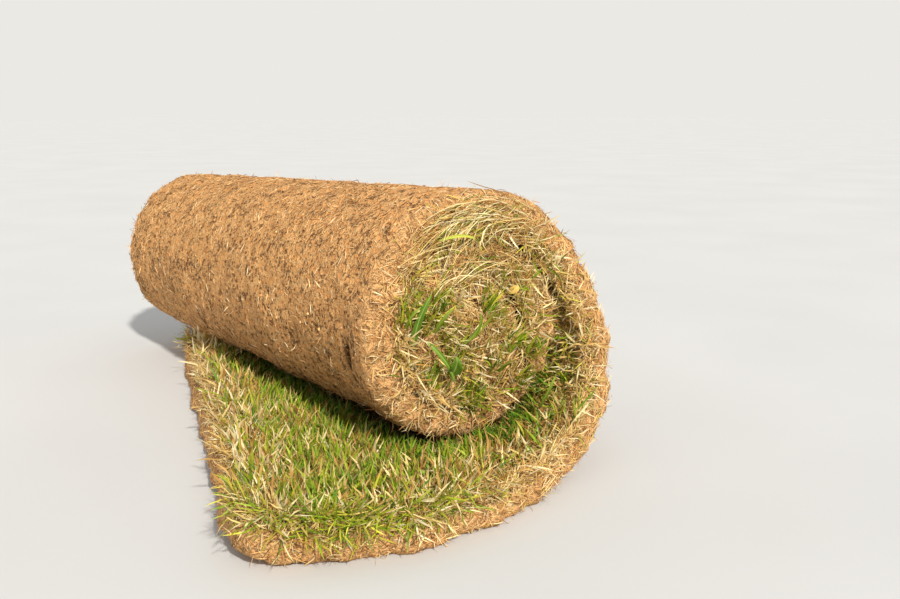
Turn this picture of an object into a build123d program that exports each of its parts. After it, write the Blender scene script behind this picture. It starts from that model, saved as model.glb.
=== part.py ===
from build123d import *
import math
import os

os.makedirs("parts", exist_ok=True)

# The strip of turf, in millimetres
STRIP_WIDTH = 610.0
STRIP_THICKNESS = 30.0
SOIL_BEVEL = 10.0
GRASS_BEVEL = 4.0
EDGE_WAVE = 5.0
EDGE_WAVE_LENGTH = 330.0

# The winding, grass side in: the far end is wound tighter, so the roll is slightly conical
TURNS = 2.53
CORE_RADIUS = 23.0
NEAR_SWARD = 8.0
FAR_SWARD = 3.5
LIFT_OFF_EASE = 20.0

# The outer turn is slack at its foot, slipped forward along the roll and turned askew (degrees)
SLACK = 15.0
SLACK_ANGLE = 135.0
SLIP = 115.0
SLIP_FROM = 130.0
SLIP_TO = -45.0
SKEW = 18.0
SKEW_FROM = 65.0
SKEW_TO = -75.0

# The laid-out end, flat where it leaves the roll and curled up toward its near corner
TAIL_LENGTH = 160.0
TAIL_FLAT = 70.0
TAIL_CURL = 14.0
CORNER_RADIUS = 28.0

# The soil side is pressed flat by this much where it rests
REST_SINK = 2.5

# How finely the edge curves are sampled, and how many samples a face spans
TURN_STEP = 9.0
TAIL_STEPS = 7
CORNER_STEPS = 6
SPAN = 2

END_ANGLE = 360 * TURNS
HALF = STRIP_THICKNESS / 2


def smooth(low, high, value):
    """Rise from 0 at low to 1 at high, level at both."""
    share = min(max((value - low) / (high - low), 0.0), 1.0)
    return share * share * (3 - 2 * share)


def wound(angle):
    """Turns wound on at an angle, eased so that the strip leaves the floor level."""
    return (math.hypot(angle, LIFT_OFF_EASE) - LIFT_OFF_EASE) / 360


def pitch(across):
    """Distance from one turn to the next, at a share of the width from the near end."""
    return STRIP_THICKNESS + NEAR_SWARD + (FAR_SWARD - NEAR_SWARD) * across


def first_radius(across):
    """Radius of the strip's middle where it meets the floor."""
    return CORE_RADIUS + pitch(across) * wound(END_ANGLE)


def tail_angle(distance):
    """A distance out along the laid-out end, as a negative winding angle."""
    return -math.degrees(distance / first_radius(0))


def middle(angle, across):
    """The strip's middle in the roll's cross-section: x, and z over the floor."""
    if angle < 0:
        distance = math.radians(-angle) * first_radius(0)
        curled = max(0.0, distance - TAIL_FLAT) / (TAIL_LENGTH - TAIL_FLAT)
        return -distance, HALF + TAIL_CURL * curled**2 * (1 - across)
    radius = first_radius(across) - pitch(across) * wound(angle)
    if angle < SLACK_ANGLE:
        radius += SLACK * math.sin(math.pi * angle / SLACK_ANGLE) ** 2
    turn = math.radians(angle)
    height = first_radius(across) + HALF
    return radius * math.sin(turn), height - radius * math.cos(turn)


def toward_grass(angle):
    """Unit direction from the soil side to the grass side, in the roll's cross-section."""
    step = 0.25
    x0, z0 = middle(angle - step, 0.5)
    x1, z1 = middle(angle + step, 0.5)
    length = math.hypot(x1 - x0, z1 - z0)
    return -(z1 - z0) / length, (x1 - x0) / length


def strip_point(angle, along, side):
    """A point of the strip: along the roll from mid-width, and off its middle toward the grass."""
    across = along / STRIP_WIDTH + 0.5
    x, z = middle(angle, across)
    nx, nz = toward_grass(angle)
    x, z = x + nx * side, z + nz * side - REST_SINK
    skew = math.radians(SKEW) * (1 - smooth(SKEW_TO, SKEW_FROM, angle))
    slip = SLIP * (1 - smooth(SLIP_TO, SLIP_FROM, angle))
    return Vector(
        x * math.cos(skew) + along * math.sin(skew),
        along * math.cos(skew) - x * math.sin(skew) - slip,
        z,
    )


def stations():
    """Winding angles from the cut end to the core, each with the inset of the rounded corners."""
    rows = []
    for i in range(CORNER_STEPS):
        turn = math.radians(90 * i / CORNER_STEPS)
        distance = TAIL_LENGTH - CORNER_RADIUS * (1 - math.cos(turn))
        rows.append((tail_angle(distance), CORNER_RADIUS * (1 - math.sin(turn))))
    straight = TAIL_LENGTH - CORNER_RADIUS
    for i in range(TAIL_STEPS):
        rows.append((tail_angle(straight * (1 - i / TAIL_STEPS)), 0.0))
    count = math.ceil(END_ANGLE / TURN_STEP)
    for i in range(count + 1):
        rows.append((END_ANGLE * i / count, 0.0))
    return rows


def section(angle, inset):
    """The strip's eight corners at a station, bevelled along its cut edges."""
    travelled = math.radians(angle) * first_radius(0)
    wave = EDGE_WAVE * math.sin(2 * math.pi * travelled / EDGE_WAVE_LENGTH)
    near = -STRIP_WIDTH / 2 + inset + wave
    far = STRIP_WIDTH / 2 - inset + wave
    corners = [
        (near, -HALF + SOIL_BEVEL),
        (near + SOIL_BEVEL, -HALF),
        (far - SOIL_BEVEL, -HALF),
        (far, -HALF + SOIL_BEVEL),
        (far, HALF - GRASS_BEVEL),
        (far - GRASS_BEVEL, HALF),
        (near + GRASS_BEVEL, HALF),
        (near, HALF - GRASS_BEVEL),
    ]
    return [strip_point(angle, along, side) for along, side in corners]


def edge_curves(lines, marks, first, last):
    """The eight edge curves from one station to another, each meeting the next in one tangent."""
    def slope(line, i):
        before, after = max(i - 1, 0), min(i + 1, len(line) - 1)
        return (line[after] - line[before]) / (marks[after] - marks[before])

    return [
        Edge.make_spline(
            line[first : last + 1],
            tangents=[slope(line, first), slope(line, last)],
            parameters=marks[first : last + 1],
            scale=False,
        )
        for line in lines
    ]


def turf_roll():
    """The wound strip as one solid: ruled faces between its edge curves, and two cut ends."""
    sections = [section(angle, inset) for angle, inset in stations()]
    lines = list(zip(*sections))
    marks = [0.0]
    for before, after in zip(lines[0], lines[0][1:]):
        marks.append(marks[-1] + (after - before).length)
    final = len(sections) - 1
    faces = [Face(Wire.make_polygon(cut, close=True)) for cut in (sections[0], sections[final])]
    for first in range(0, final, SPAN):
        curves = edge_curves(lines, marks, first, min(first + SPAN, final))
        for curve, beside in zip(curves, curves[1:] + curves[:1]):
            faces.append(Face.make_surface_from_curves(curve, beside))
    strip = Solid(Shell(faces))
    box = strip.bounding_box()
    under = (Align.CENTER, Align.CENTER, Align.MAX)
    floor = Box(2 * box.size.X, 2 * box.size.Y, STRIP_THICKNESS, align=under)
    return strip - Pos(box.center().X, box.center().Y, 0) * floor


if __name__ == "__main__":
    part = turf_roll()
    export_step(part, "parts/turf_roll.step")
    print("roll diameter, near and far:", [round(2 * (first_radius(share) + HALF), 1) for share in (0, 1)])
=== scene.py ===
import math
from functools import partialmethod
from types import SimpleNamespace

import bmesh
import bpy
import numpy as np
from bpy.props import FloatProperty, FloatVectorProperty, IntProperty, PointerProperty
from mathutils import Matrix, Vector


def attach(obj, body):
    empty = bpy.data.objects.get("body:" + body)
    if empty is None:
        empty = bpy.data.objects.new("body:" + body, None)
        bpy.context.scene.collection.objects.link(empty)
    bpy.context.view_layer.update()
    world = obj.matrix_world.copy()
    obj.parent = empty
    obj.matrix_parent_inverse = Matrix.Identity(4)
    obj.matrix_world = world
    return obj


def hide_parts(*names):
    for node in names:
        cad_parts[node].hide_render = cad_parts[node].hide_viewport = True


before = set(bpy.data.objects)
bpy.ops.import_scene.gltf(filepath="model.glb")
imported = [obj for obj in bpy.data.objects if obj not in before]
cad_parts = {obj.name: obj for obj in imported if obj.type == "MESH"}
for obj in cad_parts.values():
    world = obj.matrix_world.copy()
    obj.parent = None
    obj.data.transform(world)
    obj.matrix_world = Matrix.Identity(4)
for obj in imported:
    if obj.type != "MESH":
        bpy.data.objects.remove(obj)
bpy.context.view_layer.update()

bl_info = {
    "name": "Turf roll",
    "version": (1, 0, 0),
    "blender": (4, 5, 0),
    "location": "3D View > Sidebar > Turf",
    "description": "A wound strip of turf with its soil, root hairs, straw and grass",
    "category": "Add Mesh",
}

BODY = "root"
NODE = "turf_roll"
UV_NAME = "OFBake"
PALETTE = 64  # columns of blade colour in a piece's UV map
FLOOR_GAP = 0.0004

# The strip's shape, finer than the solid's
TURN_STEP = math.radians(0.25)  # for the winding's direction by central difference
SOIL_ROUND, GRASS_ROUND = 0.012, 0.004  # rounding of the two sides' edges
TORN_FROM, TORN_FULL = -0.9, -1.36  # winding angles where the laid-out end starts to be torn and where it is
FOLD = 0.15  # how far the edge before the crack is folded out, as a share of the crack's depth

# The strip's mesh
SOIL_COLUMNS, COARSER = 168, 6  # columns over the soil side, and how many make one where less shows
TAIL_ROWS, OUTER_ROWS, HIDDEN_ROWS = 46, 236, 92
OUTER_END = math.radians(374)
CUT_RINGS = ((0.12, 0.0), (0.35, 0.0), (0.58, 0.0), (0.8, 0.0004), (0.93, 0.0015))  # thickness share, set-back
CUT_BACK = 0.0035  # set-back of the laid-out end's first whole ring
TAIL_RADIUS, CORE_RADIUS = 0.117, 0.03  # rough radii that turn a length into a winding angle

# Where the grass is dry, sheltered, hidden or pale
NEAR_BORDER, NEAR_LOSS = 0.062, 0.050  # the dry border's width in the roll, and how much it loses laid out
END_BORDER, END_GAIN = 0.042, 0.032  # its width at the laid-out end, and its gain toward the far side
FAR_BORDER = 0.05
# The roll's shelter also sets the painted shade on the grass and thatch near its foot
SHELTER_REACH, SHELTER_FADE = 0.055, 0.05  # half the width of what the roll shelters, and the fade from there
# Under the roll no grass shows from this winding angle on, this far from the near and the far edge
HIDDEN_FROM, HIDDEN_NEAR, HIDDEN_FAR = math.radians(-14), 0.11, 0.03
FAR_CORNER = 0.12  # the pale far corner starts this far from mid-width, and is whole twice as far
FOOT_END = math.radians(105)  # where the gap under the slack outer turn ends
LAID_OUT = math.radians(20)  # the turn over which the roll's grass changes to the laid-out end's
RESTING = math.radians(10)  # the soil side rests on the floor up to this winding angle
DRY_TOP, DRY_SPREAD = 182, 48  # degrees: the middle of the long dry blades over the top, and their spread
DRY_INSIDE = np.radians((470, 620))  # where a few more are, between the inner turns
DRY_PARTING = math.radians(195)  # where they turn the other way

# The floor, the lights and the camera
FLOOR_REACH = 30.0
SUN_STRENGTH, SUN_WIDTH = 3.55, math.radians(3)
SUN_COLOUR, SUN_WAY = (1.0, 0.965, 0.90), (0.20, 0.76, -0.62)
FILL_COLOUR, FILL_STRENGTH = (0.98, 0.99, 1.0, 1.0), 0.60
SEEN_COLOUR = (0.831, 0.815, 0.776, 1.0)  # over the horizon, as pale as the lit floor
EYE, LENS = (-0.480, -0.919, 0.309), 38.0
AZIMUTH, ELEVATION = math.radians(-36.3), math.radians(11.3)


def linear(red, green, blue):
    """A screen colour, 0 to 255, as the linear colour that shaders take."""
    values = [c / 255 for c in (red, green, blue)]
    return tuple(c / 12.92 if c <= 0.04045 else ((c + 0.055) / 1.055) ** 2.4 for c in values)


def length(name, about, default):
    return FloatProperty(name=name, description=about, default=default, min=0.0, unit="LENGTH", precision=4)


def turn(name, about, degrees):
    return FloatProperty(name=name, description=about, default=math.radians(degrees), subtype="ANGLE")


def colour(name, about, *screen):
    return FloatVectorProperty(
        name=name, description=about, default=linear(*screen), subtype="COLOR", min=0.0, max=1.0
    )


class TurfStrip(bpy.types.PropertyGroup):
    """The strip of turf and the way it is wound, as in the solid."""

    width: length("Strip width", "Width of the cut strip", 0.610)
    thickness: length("Thickness", "Soil and root felt together", 0.030)
    turns: FloatProperty(name="Turns", description="Turns in the roll", default=2.53, min=1.5, max=4.0)
    core_radius: length("Core radius", "Radius of the strip's middle at its inner end", 0.023)
    near_sward: length("Near sward", "Pressed grass between turns at the near end", 0.008)
    far_sward: length("Far sward", "Pressed grass between turns at the far end", 0.0035)
    lift_off_ease: turn("Lift-off ease", "How gently the strip leaves the floor", 20)
    slack: length("Slack", "How far the outer turn hangs loose at its foot", 0.015)
    slack_angle: turn("Slack angle", "Where the slack ends", 135)
    slip: length("Slip", "How far the outer turn slipped forward", 0.115)
    slip_from: turn("Slip from", "Where the slip starts", 130)
    slip_to: turn("Slip to", "Where the slip is whole", -45)
    skew: turn("Skew", "How far the laid-out end is turned askew", 18)
    skew_from: turn("Skew from", "Where the skew starts", 65)
    skew_to: turn("Skew to", "Where the skew is whole", -75)
    tail_length: length("Laid-out length", "Strip laid out on the floor", 0.160)
    tail_flat: length("Flat length", "Part of the laid-out end that lies flat", 0.070)
    tail_curl: length("Curl", "Rise of the laid-out end's near corner", 0.014)
    corner_radius: length("Corner radius", "Rounding of the laid-out end's corners", 0.028)
    rest_sink: length("Rest sink", "How far the soil side is pressed flat where it rests", 0.0025)
    edge_wave: length("Edge wave", "How far the cut edges wander", 0.005)
    edge_wave_length: length("Edge wave length", "Distance from one wave to the next", 0.330)
    ragged: length("Ragged edge", "How far the cut edges are torn in and out", 0.0042)
    lip: length("Lip", "How far the outer turn's near edge flares out at its lower left", 0.0075)
    lip_width: length("Lip width", "Width of the flared edge", 0.042)
    lip_from: turn("Lip from", "Where the flare starts", 232)
    lip_full: turn("Lip full", "Where the flare is whole", 288)
    lip_to: turn("Lip to", "Where the flare ends", 347)
    crack: length("Crack", "Depth of the crack behind the flared edge", 0.011)
    crack_place: length("Crack place", "Distance of the crack from the near edge", 0.046)
    crack_width: length("Crack width", "Half the width of the crack", 0.010)
    crack_angle: turn("Crack angle", "Where the crack's middle is", 284)
    crack_reach: turn("Crack reach", "How far the crack runs to each side", 15)


STRIP_SIZES = tuple(TurfStrip.__annotations__)


class TurfLooks(bpy.types.PropertyGroup):
    """Colours and lengths of what grows in the strip."""

    soil: colour("Soil", "Sunlit peat and root felt", 232, 166, 98)
    # Dark soil tone for the mottle and the clods; the pits and the crack take it as painted shade
    soil_dark: colour("Soil pits", "Pits and gaps in the soil", 112, 70, 34)
    soil_light: colour("Soil crust", "Dry crust on the soil", 246, 196, 130)
    cut: colour("Cut edge", "Fibrous cut edge", 222, 170, 110)
    thatch: colour("Thatch", "Matted dry stems under the grass", 134, 104, 50)
    hair: colour("Root hair", "Fine roots on the soil", 244, 200, 140)
    straw: colour("Straw", "Long dry blades", 234, 214, 160)
    green: colour("Green grass", "Fresh blades", 122, 154, 28)
    yellow_green: colour("Yellow-green grass", "Ageing blades", 188, 188, 50)
    grass_length: length("Grass length", "Longest upright blade", 0.030)
    hair_length: length("Root hair length", "Longest root hair", 0.013)
    lump_height: length("Lump height", "How far the soil stands up in lumps", 0.0060)
    lump_size: length("Lump size", "Distance from one lump to the next", 0.062)
    seed: IntProperty(name="Seed", description="Fixed start of every random draw", default=7, min=0)


def settings():
    """The strip's sizes and the looks, as set in the scene."""
    return bpy.context.scene.turf_strip, bpy.context.scene.turf_looks


class Plain:
    """The winding's arithmetic on numbers and arrays."""

    sin, cos, root = np.sin, np.cos, np.sqrt
    lesser, greater, less, pick = np.minimum, np.maximum, np.less, np.where

    @staticmethod
    def smooth(low, high, value):
        share = np.clip((value - low) / (high - low), 0, 1)
        return share * share * (3 - 2 * share)


def both_sides(operation):
    """A Math node as an arithmetic operator, and the same for a number on its left."""

    def plain(value, other):
        return value.graph.maths(operation, value, other)

    def swapped(value, other):
        return value.graph.maths(operation, other, value)

    return plain, swapped


class Value:
    """A socket in a node tree. Arithmetic on it adds Math nodes."""

    def __init__(self, graph, socket):
        self.graph, self.socket = graph, socket

    __add__, __radd__ = both_sides("ADD")
    __sub__, __rsub__ = both_sides("SUBTRACT")
    __mul__, __rmul__ = both_sides("MULTIPLY")
    __truediv__, __rtruediv__ = both_sides("DIVIDE")


class Graph:
    """A node tree under construction, with the arithmetic that Plain has."""

    def __init__(self, tree):
        self.tree = tree

    def node(self, kind, *given, **options):
        """Adds a node. The given values or sockets go to its live inputs in order, None leaves one alone."""
        node = self.tree.nodes.new(kind)
        for name, value in options.items():
            setattr(node, name, value)
        for socket, value in zip([s for s in node.inputs if s.enabled], given):
            if isinstance(value, Value):
                self.tree.links.new(value.socket, socket)
            elif value is not None:
                socket.default_value = value
        return node

    def get(self, kind, *given, out=0, **options):
        """Adds a node and returns one of its live outputs."""
        node = self.node(kind, *given, **options)
        return Value(self, [s for s in node.outputs if s.enabled][out])

    def maths(self, operation, *given, clamp=False):
        return self.get("ShaderNodeMath", *given, operation=operation, use_clamp=clamp)

    sin = partialmethod(maths, "SINE")
    cos = partialmethod(maths, "COSINE")
    root = partialmethod(maths, "SQRT")
    lesser = partialmethod(maths, "MINIMUM")
    greater = partialmethod(maths, "MAXIMUM")
    less = partialmethod(maths, "LESS_THAN")

    def pick(self, choose, yes, no):
        return no + (yes - no) * choose

    def smooth(self, low, high, value):
        return self.get("ShaderNodeMapRange", value, low, high, 0.0, 1.0, interpolation_type="SMOOTHSTEP")

    def noise(self, place, scale, detail=2.0, rough=0.5, out=0):
        """Noise from 0 to 1 round one half."""
        return self.get("ShaderNodeTexNoise", place, scale, detail, rough, out=out)

    def vector(self, operation, *given):
        return self.get("ShaderNodeVectorMath", *given, operation=operation)

    def combine(self, x, y, z):
        return self.get("ShaderNodeCombineXYZ", x, y, z)

    def split(self, vector):
        node = self.node("ShaderNodeSeparateXYZ", vector)
        return [Value(self, socket) for socket in node.outputs]

    # For geometry

    def named(self, name, kind="FLOAT"):
        return self.get("GeometryNodeInputNamedAttribute", name, data_type=kind)

    def store(self, geometry, name, value, kind="FLOAT", domain="POINT"):
        kinds = {"data_type": kind, "domain": domain}
        return self.get("GeometryNodeStoreNamedAttribute", geometry, None, name, value, **kinds)

    def move(self, geometry, place=None, offset=None):
        return self.get("GeometryNodeSetPosition", geometry, None, place, offset)

    def random(self, low, high, seed, kind="FLOAT"):
        return self.get("FunctionNodeRandomValue", low, high, None, seed, data_type=kind)

    # For shaders

    def wire(self, value, node, socket):
        self.tree.links.new(value.socket, node.inputs[socket])

    def painted(self, name):
        """A point attribute of the piece."""
        return self.get("ShaderNodeAttribute", attribute_name=name, out=2)

    def ramp(self, value, *stops):
        """A colour ramp: (place, colour) pairs."""
        node = self.node("ShaderNodeValToRGB", value)
        elements = node.color_ramp.elements
        while len(elements) < len(stops):
            elements.new(0.5)
        for element, (place, shade) in zip(elements, stops):
            element.position = place
            element.color = (*shade, 1.0)
        return Value(self, node.outputs[0])

    def mix(self, share, a, b, blend="MIX"):
        """Two colours mixed."""
        node = self.tree.nodes.new("ShaderNodeMix")
        node.data_type, node.blend_type = "RGBA", blend
        node.clamp_result = True
        for socket, value in ((node.inputs[0], share), (node.inputs[6], a), (node.inputs[7], b)):
            if isinstance(value, Value):
                self.tree.links.new(value.socket, socket)
            else:
                socket.default_value = (*value, 1.0) if hasattr(value, "__len__") else value
        return Value(self, node.outputs[2])


# The winding, in Python with Plain and in a node tree with Graph as m


def turns_on(m, s, angle):
    """Turns wound on at an angle, eased so that the strip leaves the floor level."""
    return (m.root(angle * angle + s.lift_off_ease * s.lift_off_ease) - s.lift_off_ease) / math.tau


def pitch(s, across):
    """Distance from one turn to the next, at a share of the width from the near end."""
    return s.thickness + s.near_sward + (s.far_sward - s.near_sward) * across


def first_radius(m, s, across):
    """Radius of the strip's middle where it meets the floor."""
    return s.core_radius + pitch(s, across) * turns_on(m, s, s.turns * math.tau)


def middle(m, s, angle, across):
    """The strip's middle in the roll's cross-section: x, and z over the floor."""
    out = m.greater(angle * -1.0, 0.0) * first_radius(m, s, 0.0)
    curled = m.greater(out - s.tail_flat, 0.0) / (s.tail_length - s.tail_flat)
    flat_z = s.thickness / 2 + s.tail_curl * curled * curled * (1.0 - across)
    eased = m.sin(m.lesser(m.greater(angle, 0.0), s.slack_angle) / s.slack_angle * math.pi)
    first = first_radius(m, s, across)
    radius = first - pitch(s, across) * turns_on(m, s, angle) + s.slack * eased * eased
    laid_out = m.less(angle, 0.0)
    round_z = first + s.thickness / 2 - radius * m.cos(angle)
    return m.pick(laid_out, out * -1.0, radius * m.sin(angle)), m.pick(laid_out, flat_z, round_z)


def torn(m, place, coarse, fine, phase):
    """How far an edge is torn in or out at a place along it, from -1 to 1."""
    return m.sin(place * coarse) * 0.55 + m.sin(place * fine + phase) * 0.45


def crack(m, s, angle, along):
    """How far the crack behind the flared edge is open at a place, and how far the edge before it is folded."""
    behind = along + s.width / 2 - s.crack_place
    low, high = s.crack_angle - s.crack_reach, s.crack_angle + s.crack_reach
    here = m.smooth(low, s.crack_angle, angle) * m.smooth(high, s.crack_angle, angle)
    before = s.crack_width * -1.0
    gap = m.smooth(s.crack_width, 0.0, behind) * m.smooth(before, 0.0, behind)
    fold = m.smooth(0.0, before, behind) * m.smooth(s.crack_place * -1.0, s.crack_width * -1.5, behind)
    return gap * here, fold * here


def strip_point(m, s, angle, along, side):
    """A place in the strip, and there the directions toward the core, the far end and the grass side."""
    open_gap, folded = crack(m, s, angle, along)
    first = first_radius(m, s, 0.0)
    cut_torn = torn(m, along, 57.0, 139.0, 1.0)
    angle = angle + s.ragged / first * cut_torn * m.smooth(TORN_FROM, TORN_FULL, angle)
    edge_torn = torn(m, angle, 17.0, 43.0, 2.0)
    toward_edge = along * along * 4.0 / (s.width * s.width)
    along = along + s.edge_wave * m.sin(angle * first / s.edge_wave_length * math.tau)
    along = along + s.ragged * edge_torn * toward_edge * toward_edge * toward_edge
    x, z = middle(m, s, angle, along / s.width + 0.5)
    x0, z0 = middle(m, s, angle - TURN_STEP, 0.5)
    x1, z1 = middle(m, s, angle + TURN_STEP, 0.5)
    span = m.root((x1 - x0) * (x1 - x0) + (z1 - z0) * (z1 - z0))
    run, rise = (x1 - x0) / span, (z1 - z0) / span
    flare = m.smooth(s.lip_width - s.width / 2, s.width / -2, along)
    flare = flare * m.smooth(s.lip_from, s.lip_full, angle) * m.smooth(s.lip_to, s.lip_full, angle)
    side = side - s.lip * flare
    side = side + s.crack * (open_gap - folded * FOLD)
    x, z = x - rise * side, z + run * side - s.rest_sink
    skew = s.skew * (1.0 - m.smooth(s.skew_to, s.skew_from, angle))
    slip = s.slip * (1.0 - m.smooth(s.slip_to, s.slip_from, angle))
    c, sn = m.cos(skew), m.sin(skew)
    place = (x * c + along * sn, along * c - x * sn - slip, z)
    return place, (run * c, run * sn * -1.0, rise), (sn, c, 0.0), (rise * c * -1.0, rise * sn, run)


# Flat lattices, which the trees wind into a roll


def rail(*stops):
    """Numbers from stop to stop, each given with the number of steps to the next."""
    numbers = []
    for (start, steps), (end, _) in zip(stops, stops[1:]):
        numbers += [start + (end - start) * i / steps for i in range(steps)]
    return numbers + [stops[-1][0]]


def mesh_grid(rows, columns):
    """Two arrays over rows and columns: one changes from row to row, the other from column to column."""
    return np.meshgrid(np.asarray(rows, float), np.asarray(columns, float), indexing="ij")


def side_grid(s, inset, columns, *stops):
    """Winding angles from stops in degrees, and places along the roll from edge to edge of the strip."""
    return mesh_grid(np.radians(rail(*stops)), rail((-s.width / 2 + inset, columns), (s.width / 2 - inset, 0)))


def add_layers(mesh, **layers):
    """Point attributes from arrays, of numbers or of vectors."""
    for name, values in layers.items():
        values = np.asarray(values, dtype=float)
        vectors = values.shape[1:] == (3,)
        layer = mesh.attributes.new(name, "FLOAT_VECTOR" if vectors else "FLOAT", "POINT")
        layer.data.foreach_set("vector" if vectors else "value", values.ravel())


def lay_uvs(mesh, uvs):
    """A UV map from one pair for each vertex, and smooth shading."""
    layer = mesh.uv_layers.new(name=UV_NAME)
    for loop in mesh.loops:
        layer.data[loop.index].uv = uvs[loop.vertex_index]
    mesh.shade_smooth()


def new_object(name, mesh):
    piece = bpy.data.objects.new(name, mesh)
    bpy.context.scene.collection.objects.link(piece)
    return piece


def tail_angle(s, distance):
    """A distance out along the laid-out end, as a negative winding angle."""
    return -distance / first_radius(Plain, s, 0.0)


def corner_inset(s, angle):
    """How much shorter the strip's width is, at each end, within the laid-out end's round corners."""
    past = -angle * first_radius(Plain, s, 0.0) - (s.tail_length - s.corner_radius)
    past = np.clip(past, 0, s.corner_radius)
    return s.corner_radius - np.sqrt(np.maximum(s.corner_radius**2 - past**2, 0))


def within_corners(s, angle, along):
    """Places along the roll, drawn in where the laid-out end's corners are round."""
    return along * (s.width / 2 - corner_inset(s, angle)) / (s.width / 2)


def section_loop(s):
    """The strip's rounded section: (along, side) pairs, how far each is on a cut edge, and those to keep."""
    half, width = s.thickness / 2, s.width / 2
    inner = width - SOIL_ROUND
    wide = SOIL_COLUMNS // COARSER
    loop = [(-inner + 2 * inner * i / SOIL_COLUMNS, -half) for i in range(SOIL_COLUMNS + 1)]
    edge = []
    for i in range(1, 6):
        a = math.pi / 2 * i / 5
        edge.append((inner + SOIL_ROUND * math.sin(a), -half + SOIL_ROUND * (1 - math.cos(a))))
    upright = s.thickness - SOIL_ROUND - GRASS_ROUND
    edge += [(width, -half + SOIL_ROUND + t * upright) for t in (0.25, 0.5, 0.75)]
    edge += [(width, half - GRASS_ROUND), (width - GRASS_ROUND * 0.3, half - GRASS_ROUND * 0.3)]
    edge += [(width - GRASS_ROUND, half)]
    loop += edge + [(inner - 2 * inner / wide * i, half) for i in range(wide + 1)]
    loop += [(-along, side) for along, side in reversed(edge)]
    cut = [1.0] * (len(edge) - 1) + [0.5]
    cut = [0.0] * (SOIL_COLUMNS + 1) + cut + [0.0] * (wide + 1) + cut[::-1]
    keep = [i for i in range(len(loop)) if i > SOIL_COLUMNS or i % COARSER == 0]
    return np.array(loop), np.array(cut), keep


def ring_faces(a, a_picks, b, b_picks):
    """Faces between two rings, given as first point and picks. The second may be the coarser one."""
    if len(a_picks) == len(b_picks):
        n = len(a_picks)
        return [(a + i, a + (i + 1) % n, b + (i + 1) % n, b + i) for i in range(n)]
    faces = []
    for j, (i, i_next) in enumerate(zip(b_picks, b_picks[1:] + [len(a_picks)])):
        run = [a + k % len(a_picks) for k in range(i, i_next + 1)]
        faces.append(tuple(run + [b + (j + 1) % len(b_picks), b + j]))
    return faces


def cut_faces(loop, keep, first, picks):
    """Faces that close a cut end, in strips from the soil side to the grass side."""
    spot = {place: first + n for n, place in enumerate(picks)}
    soil = [i for i in keep if i <= SOIL_COLUMNS]
    width, top = loop[soil[-1]][0] + 1e-9, max(loop[:, 1]) - 1e-9
    grass = [i for i in keep if loop[i][1] >= top and abs(loop[i][0]) <= width][::-1]
    faces = []
    for (s0, s1), (g0, g1) in zip(zip(soil, soil[1:]), zip(grass, grass[1:])):
        run = [spot[i] for i in range(s0, s1 + 1) if i in spot]
        faces.append(tuple(run + [spot[g1], spot[g0]]))
    faces.append(tuple(spot[i] for i in range(soil[-1], grass[-1] + 1)))
    faces.append(tuple([spot[i] for i in range(grass[0], len(loop))] + [spot[0]]))
    return faces


def strip_lattice(name, s):
    """The whole strip as one closed, wound mesh: rings along it, each a loop round its section."""
    loop, cut, keep = section_loop(s)
    everything = list(range(len(loop)))
    grass_level = s.thickness / 2 * 0.6
    rings, table = [], []

    def ring(angle, picks, squeeze, at_cut):
        along, side = loop[picks].T
        along, side = within_corners(s, angle, along), side * squeeze
        rings.append((sum(len(points) for points in table), picks))
        columns = (np.full(len(picks), angle), along, side, np.maximum(cut[picks], at_cut), side > grass_level)
        table.append(np.column_stack(columns))

    end = tail_angle(s, s.tail_length)
    rows = rail((end, TAIL_ROWS), (0.0, OUTER_ROWS), (OUTER_END, HIDDEN_ROWS), (s.turns * math.tau, 0))
    rows[0] += CUT_BACK / TAIL_RADIUS
    for squeeze, back in CUT_RINGS:
        ring(end + back / TAIL_RADIUS, everything, squeeze, 1.0)
    for i, angle in enumerate(rows):
        picks = everything if i <= TAIL_ROWS + OUTER_ROWS else keep
        ring(angle, picks, 1.0, 1.0 if i in (0, len(rows) - 1) else 0.0)
    for squeeze, back in reversed(CUT_RINGS):
        ring(rows[-1] - back / CORE_RADIUS, keep, squeeze, 1.0)
    faces = [face for a, b in zip(rings, rings[1:]) for face in ring_faces(*a, *b)]
    faces += cut_faces(loop, keep, *rings[0]) + cut_faces(loop, keep, *rings[-1])

    angle, along, side, cut, grassy = np.ascontiguousarray(np.concatenate(table).T)
    place, *_ = strip_point(Plain, s, angle, along, side)
    mesh = bpy.data.meshes.new(name)
    mesh.from_pydata(np.column_stack(place).tolist(), [], faces)
    # The attribute set here from the roll's shelter is painted shade: it darkens the grass side near the roll's
    # foot
    damp, gap = shelter_of_roll(s, angle, along) * grassy, crack(Plain, s, angle, along)[0]
    add_layers(mesh, angle=angle, along=along, side=side, cut=cut, grassy=grassy, damp=damp, gap=gap)
    work = bmesh.new()
    work.from_mesh(mesh)
    bmesh.ops.recalc_face_normals(work, faces=work.faces)
    if work.calc_volume(signed=True) < 0:
        bmesh.ops.reverse_faces(work, faces=work.faces)
    work.to_mesh(mesh)
    work.free()
    return mesh


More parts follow.
